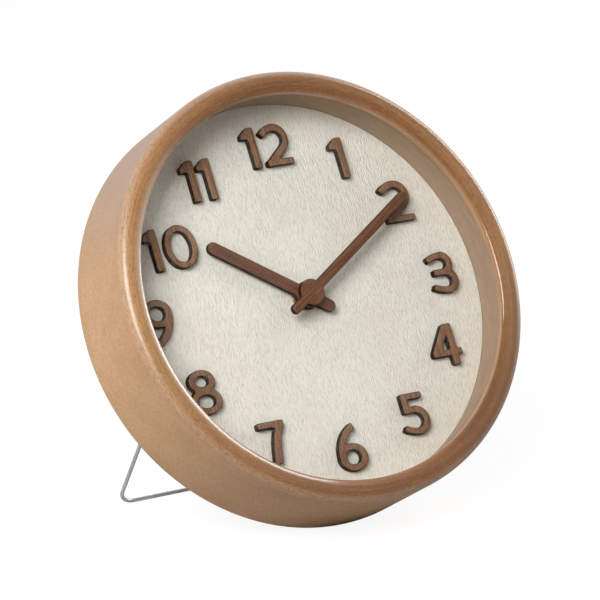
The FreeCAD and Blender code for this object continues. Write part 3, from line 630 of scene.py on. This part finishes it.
def case_liner():
    """Thin strip that lines the bore from the glass to the dial."""
    edge = LINER_WALL / 2
    outer = BORE_R - HAIR
    profile = [(outer, DIAL_Y), (outer, LINER_LOW.y + edge)]
    profile += arc((outer - edge, LINER_LOW.y + edge), edge, 0, -180, 6)[1:]
    profile += [(outer - LINER_WALL, DIAL_Y)]
    mesh = lathe("case_liner_strip", profile, LINER_SIDES)
    piece = finished("case_liner_strip", mesh, [LINER])
    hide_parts("case_liner")


def front_glass():
    """Flat glass with a ground edge."""
    radius = GLASS_HIGH.x
    front = GLASS_LOW.y + HAIR
    back = GLASS_HIGH.y - HAIR
    flat = radius - GLASS_BEVEL
    profile = [(0, front), (flat, front), (radius, front + GLASS_BEVEL),
               (radius, back - GLASS_BEVEL), (flat, back), (0, back)]
    mesh = lathe("front_glass_pane", profile, GLASS_SIDES)
    piece = finished("front_glass_pane", mesh, [GLASS])
    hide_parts("front_glass")


case_ring()
case_liner()
front_glass()


# ---------------------------------------------------------------- numerals and hands

OUTLINE_STEP = 0.3                      # spacing of points along a cut outline
FEWEST_POINTS = 24                      # on an outline
NUMERAL_CORNER = 0.9                    # how far a corner's rounding reaches along the outline
HAND_CORNER = 0.5                       # the same for the hands
NUMERAL_RIM = 0.36                      # width of the burnt, eased rim round a face
HAND_RIM = 0.22
RIM_DEPTH = 0.3
TWO_OF_TWELVE = 0.92                    # the 2 of 12 is narrower than the CAD glyph


def following(items):
    """The same items, each moved one place forward round their loop."""
    return items[1:] + items[:1]


def front_loops(node):
    """Outlines of a flat piece's front face, as lists of (x, z) points."""
    mesh = frame["nodes"][node].data
    spots = clock_points(node)
    front = min(spot.y for spot in spots)
    names = [(round(spot.x, 3), round(spot.z, 3)) for spot in spots]
    border = set()
    for polygon in mesh.polygons:
        if any(spots[index].y - front > 0.01 for index in polygon.vertices):
            continue
        corners = [names[index] for index in polygon.vertices]
        for here, there in zip(corners, following(corners)):
            if (there, here) in border:
                border.remove((there, here))
            elif here != there:
                border.add((here, there))
    onward = dict(border)
    loops = []
    while onward:
        start, here = onward.popitem()
        loop = [start]
        while here != start:
            loop.append(here)
            here = onward.pop(here)
        loops.append([Vector(point) for point in loop])
    return loops


def rounded(loop, reach):
    """The outline at an even spacing, its corners rounded by a running mean."""
    total = sum((there - here).length for here, there in zip(loop, following(loop)))
    count = max(round(total / OUTLINE_STEP), FEWEST_POINTS)
    even = []
    walked = 0.0
    for here, there in zip(loop, following(loop)):
        run = (there - here).length
        while len(even) < count and total * len(even) / count <= walked + run:
            even.append(here.lerp(there, (total * len(even) / count - walked) / run))
        walked += run
    span = max(round(reach / OUTLINE_STEP), 1)
    mean = []
    for index in range(len(even)):
        near = [even[(index + step) % len(even)] for step in range(-span, span + 1)]
        mean.append(sum(near, Vector((0, 0))) / len(near))
    return mean


def area(loop):
    """Area inside an outline, negative where it runs the other way round."""
    return sum(here.cross(there) for here, there in zip(loop, following(loop))) / 2


def inset(loop, distance):
    """The outline moved into the material; a positive distance moves it to the left."""
    moved = []
    for before, here, after in zip(loop[-1:] + loop[:-1], loop, following(loop)):
        along = (after - before).normalized()
        moved.append(here + Vector((-along.y, along.x)) * distance)
    return moved


def cut_piece(name, loops, front, back, rim_width):
    """Flat piece cut along its outlines: a face, an eased and burnt rim and burnt sides."""
    inward = math.copysign(1, sum(area(loop) for loop in loops))
    rows = (
        (rim_width, 0.0),
        (0.3 * rim_width, 0.35 * RIM_DEPTH),
        (0.0, RIM_DEPTH),
        (0.0, back - front),
    )
    shape = bmesh.new()
    rims = [[], []]
    for loop in loops:
        rings = []
        for distance, depth in rows:
            line = inset(loop, distance * inward)
            rings.append([shape.verts.new((point.x, front + depth, point.y)) for point in line])
        for upper, lower in zip(rings, rings[1:]):
            for corners in zip(upper, following(upper), following(lower), lower):
                shape.faces.new(corners).material_index = 1
        for rim, ring in zip(rims, (rings[0], rings[-1])):
            rim += [shape.edges.get(pair) for pair in zip(ring, following(ring))]
    for rim in rims:
        bmesh.ops.triangle_fill(shape, edges=rim, use_beauty=True)
    return built(name, shape)


def narrowed(loops):
    """Draws in the right-hand digit of 12 from its left."""
    across = [point.x for loop in loops for point in loop]
    edge = max(across)
    middle = (edge + min(across)) / 2
    for loop in loops:
        if sum(point.x for point in loop) / len(loop) > middle:
            for point in loop:
                point.x = edge - (edge - point.x) * TWO_OF_TWELVE
    return loops


def flat_cut(node, materials, body, corner, rim):
    """Puts a cut piece in the place of a flat CAD node."""
    low, high = clock_box(node)
    loops = front_loops(node)
    if node == "numeral_12":
        loops = narrowed(loops)
    loops = [rounded(loop, corner) for loop in loops]
    mesh = cut_piece(node + "_cut", loops, low.y, high.y, rim)
    piece = finished(node + "_cut", mesh, materials, body, smooth_angle=50)
    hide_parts(node)


for value in range(1, 13):
    flat_cut("numeral_%02d" % value, [NUMERAL, CHARRED], "case",
             NUMERAL_CORNER, NUMERAL_RIM)
flat_cut("minute_hand", [MINUTE_WOOD, CHARRED], "minute_set", HAND_CORNER, HAND_RIM)
flat_cut("hour_hand", [HOUR_WOOD, CHARRED], "hour_set", HAND_CORNER, HAND_RIM)


# ---------------------------------------------------------------- wire stand

WIRE_R = 1.0
STAND_HALF = 79.3                       # half the width between the legs
CORNER_R = 9.0                          # bends beside the table bar
SHOULDER_R = 3.0                        # bends beside the pins
BEND_STEPS = 12
WIRE_SIDES = 24


def wire_stand():
    """The stand bent from one wire, with its real bends."""
    pivot = INTO_CLOCK @ Vector(JOINTS["bail_fold"]["pos_m"])
    low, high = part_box("wire_bail")
    bar = INTO_CLOCK @ Vector((0, high.y - WIRE_R * MM, low.z + WIRE_R * MM))
    pin = high.x / MM
    route = [
        Vector((-pin, pivot.y, pivot.z)),
        Vector((-STAND_HALF, pivot.y, pivot.z)),
        Vector((-STAND_HALF, bar.y, bar.z)),
        Vector((STAND_HALF, bar.y, bar.z)),
        Vector((STAND_HALF, pivot.y, pivot.z)),
        Vector((pin, pivot.y, pivot.z)),
    ]
    path = [route[0]]
    for index, radius in enumerate((SHOULDER_R, CORNER_R, CORNER_R, SHOULDER_R), start=1):
        here = route[index]
        back = (route[index - 1] - here).normalized()
        on = (route[index + 1] - here).normalized()
        centre = here + (back + on) * radius
        for step in range(BEND_STEPS + 1):
            turn = math.radians(90 * step / BEND_STEPS)
            path.append(centre - on * radius * math.cos(turn) - back * radius * math.sin(turn))
    path.append(route[-1])
    mesh = sweep("wire_stand_bent", path, WIRE_R, WIRE_SIDES)
    piece = finished("wire_stand_bent", mesh, [WIRE], "bail", smooth_angle=60)
    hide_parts("wire_bail")


wire_stand()


# ---------------------------------------------------------------- washer under the hands

WASHER_SLOPE = 1.2                      # width of the dished rim
WASHER_SHOWN = 0.85                     # the photo shows less of it than the CAD radius
WASHER_SIDES = 96


def dial_washer():
    """Brass washer whose rim is dished down to the dial."""
    low, high = clock_box("dial_washer")
    bore = min(math.hypot(point.x, point.z) for point in clock_points("dial_washer"))
    rim = high.x * WASHER_SHOWN
    profile = [(bore, high.y), (bore, low.y), (rim - WASHER_SLOPE, low.y),
               (rim - WASHER_SLOPE / 3, low.y + 0.12), (rim, high.y - 0.08), (rim, high.y)]
    mesh = lathe("dial_washer_dished", profile, WASHER_SIDES)
    piece = finished("dial_washer_dished", mesh, [BRASS])
    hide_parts("dial_washer")


dial_washer()


# ---------------------------------------------------------------- points that hold the board

POINT_COUNT = 8
POINT_WIDE = 2.6
POINT_THICK = 0.35
POINT_REACH = 7.5                       # how far a point stands out of the ring over the board
POINT_SUNK = 1.0                        # how deep it sits in the ring
POINT_LIFT = 0.7                        # its free end is bent up


def board_points():
    """Thin steel points, pushed into the ring over the back of the board."""
    clear = BOARD_HIGH.y + HAIR
    end = BORE_R - POINT_REACH
    rows = (                            # radius, lift off the board, width
        (BORE_R + POINT_SUNK, 0.0, POINT_WIDE),
        (end + 2.0, 0.0, POINT_WIDE),
        (end + 0.9, 0.25 * POINT_LIFT, POINT_WIDE),
        (end, POINT_LIFT, 0.6 * POINT_WIDE),
    )
    shape = bmesh.new()
    for index in range(POINT_COUNT):
        turn = 2 * math.pi * (index + 0.5) / POINT_COUNT
        out = Vector((math.sin(turn), 0, math.cos(turn)))
        across = Vector((math.cos(turn), 0, -math.sin(turn)))
        rings = []
        for radius, lift, width in rows:
            ring = []
            for side, top in ((-1, 0), (1, 0), (1, 1), (-1, 1)):
                spot = out * radius + across * (side * width / 2)
                spot.y = clear + lift + top * POINT_THICK
                ring.append(shape.verts.new(spot))
            rings.append(ring)
        for near, far in zip(rings, rings[1:]):
            for corners in zip(near, following(near), following(far), far):
                shape.faces.new(corners)
        shape.faces.new(rings[0])
        shape.faces.new(rings[-1])
    mesh = built("board_points", shape)
    finished("board_points", mesh, [STEEL])


board_points()


# ---------------------------------------------------------------- CAD nodes that stay

def paint(node, material):
    """Gives a CAD node its finish."""
    mesh = frame["nodes"][node].data
    mesh.materials.clear()
    mesh.materials.append(material)


def eased(node, material, body, edge):
    """A moulded or machined piece with its edges broken."""
    mesh = softened(node, edge)
    piece = finished(node + "_eased", mesh, [material], body, smooth_angle=40)
    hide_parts(node)


paint("dial_face", DIAL)
paint("dial_board", BOARD)
paint("minute_arbor", STEEL)
paint("minute_collet", BRASS)
paint("mounting_bush", BRASS)
paint("hour_wheel", WHEEL)
paint("intermediate_wheel", WHEEL)
paint("movement_core", BLACK)
paint("contact_positive", STEEL)
paint("contact_negative", STEEL)
eased("hex_nut", BRASS, "case", 0.15)
eased("movement_housing", BLACK, "case", 0.25)
eased("movement_cover", BLACK, "case", 0.2)
eased("setting_knob", KNOB, "intermediate_set", 0.15)
eased("battery", JACKET, "case", 0.4)


# ---------------------------------------------------------------- floor, light and camera

AMBIENT = 0.13                          # even light all round
DIM_ROOM = 0.1                          # what glossy surfaces mirror from the front
FLOOR_HALF = 6.0
FLOOR_GREY = 0.5                        # what the floor is for the object's own light
SHADOW_SHARE = 0.22                     # share of the seen floor that takes the lamps' light
FLOOR_GLOW = 0.9
BEHIND = (0.05, 0.4)                    # from here to there glossy surfaces see the white floor
BACKWARD = (0.35, 0.94, 0.0)            # direction in which the backdrop stands
BACKDROP = (-0.15, 0.25)                # from here to there towards it the room grows bright
LENS = 223.19
EYE = Vector((-0.9327, -1.4812, 0.6176))
LOOKED_AT = Vector((-0.01273, -0.01764, 0.1118))


def floor():
    """Pale floor that shows white and keeps the clock's soft shadow."""
    mesh = bpy.data.meshes.new("floor")
    half = FLOOR_HALF
    corners = [(-half, -half, 0), (half, -half, 0), (half, half, 0), (-half, half, 0)]
    mesh.from_pydata(corners, [], [(0, 1, 2, 3)])
    piece = bpy.data.objects.new("floor", mesh)
    bpy.context.scene.collection.objects.link(piece)
    material = bpy.data.materials.new("white_floor")
    material.use_nodes = True
    nodes = Nodes(material.node_tree)
    nodes.tree.nodes.remove(nodes.tree.nodes["Principled BSDF"])
    path = nodes.tree.nodes.new("ShaderNodeLightPath").outputs
    seen = nodes.math("MAXIMUM", path["Is Camera Ray"], path["Is Transmission Ray"])
    place = nodes.add("ShaderNodeTexCoord", output="Object")
    depth = nodes.add("ShaderNodeSeparateXYZ", {0: place}, "Y")
    behind = nodes.fit(depth, *BEHIND, smooth=False)
    mirrored = nodes.math("MULTIPLY", path["Is Glossy Ray"], behind)
    white = nodes.math("MAXIMUM", seen, mirrored)
    plain = nodes.add("ShaderNodeBsdfDiffuse", {"Color": (FLOOR_GREY,) * 3 + (1,)})
    faint = nodes.add("ShaderNodeBsdfDiffuse", {"Color": (SHADOW_SHARE,) * 3 + (1,)})
    glow = nodes.add("ShaderNodeEmission", {"Strength": FLOOR_GLOW})
    lit = nodes.add("ShaderNodeAddShader", {0: faint, 1: glow})
    mixed = nodes.add("ShaderNodeMixShader", {0: white, 1: plain, 2: lit})
    nodes.set(nodes.tree.nodes["Material Output"], "Surface", mixed)
    mesh.materials.append(material)


def world():
    """White where it is seen; for the object it is a pale backdrop and a dim room in front."""
    scene_world = bpy.data.worlds.new("studio")
    bpy.context.scene.world = scene_world
    scene_world.use_nodes = True
    nodes = Nodes(scene_world.node_tree)
    path = nodes.tree.nodes.new("ShaderNodeLightPath").outputs
    direction = nodes.add("ShaderNodeTexCoord", output="Generated")
    sockets = {0: direction, 1: BACKWARD}
    backward = nodes.add("ShaderNodeVectorMath", sockets, "Value", operation="DOT_PRODUCT")
    mirrored = nodes.fit(backward, *BACKDROP, DIM_ROOM, 1.0, smooth=False)
    unseen = nodes.fit(path["Is Glossy Ray"], 0.0, 1.0, AMBIENT, mirrored, smooth=False)
    clear = nodes.math("MAXIMUM", path["Is Camera Ray"], path["Is Transmission Ray"])
    background = nodes.tree.nodes["Background"]
    nodes.set(background, "Color", (1, 1, 1, 1))
    nodes.set(background, "Strength", nodes.fit(clear, 0.0, 1.0, unseen, 1.0, smooth=False))


def softbox(name, place, target, width, height, power):
    """Rectangular lamp of a given power in watts, turned to a target."""
    data = bpy.data.lights.new(name, "AREA")
    data.shape = "RECTANGLE"
    data.size = width
    data.size_y = height
    data.energy = power
    lamp = bpy.data.objects.new(name, data)
    lamp.location = place
    lamp.rotation_euler = (Vector(target) - Vector(place)).to_track_quat("-Z", "Y").to_euler()
    bpy.context.scene.collection.objects.link(lamp)


def camera():
    """Camera at the photograph's viewing angle; the lens suits a 36 mm sensor."""
    data = bpy.data.cameras.new("camera")
    data.sensor_width = 36.0
    data.lens = LENS
    piece = bpy.data.objects.new("camera", data)
    piece.location = EYE
    piece.rotation_euler = (LOOKED_AT - EYE).to_track_quat("-Z", "Y").to_euler()
    bpy.context.scene.collection.objects.link(piece)
    bpy.context.scene.camera = piece


floor()
world()
softbox("key", (-1.30, -0.86, 1.36), (0, 0, 0.11), 1.1, 1.1, 38)
softbox("fill", (0.57, -1.57, 1.5), (0, 0, 0.11), 0.9, 0.9, 1.5)
softbox("right", (1.30, 0.02, 0.72), (0, 0, 0.12), 0.3, 1.15, 8.5)
camera()
bpy.context.scene.view_settings.view_transform = "Standard"


# ---------------------------------------------------------------- end

bpy.context.view_layer.update()
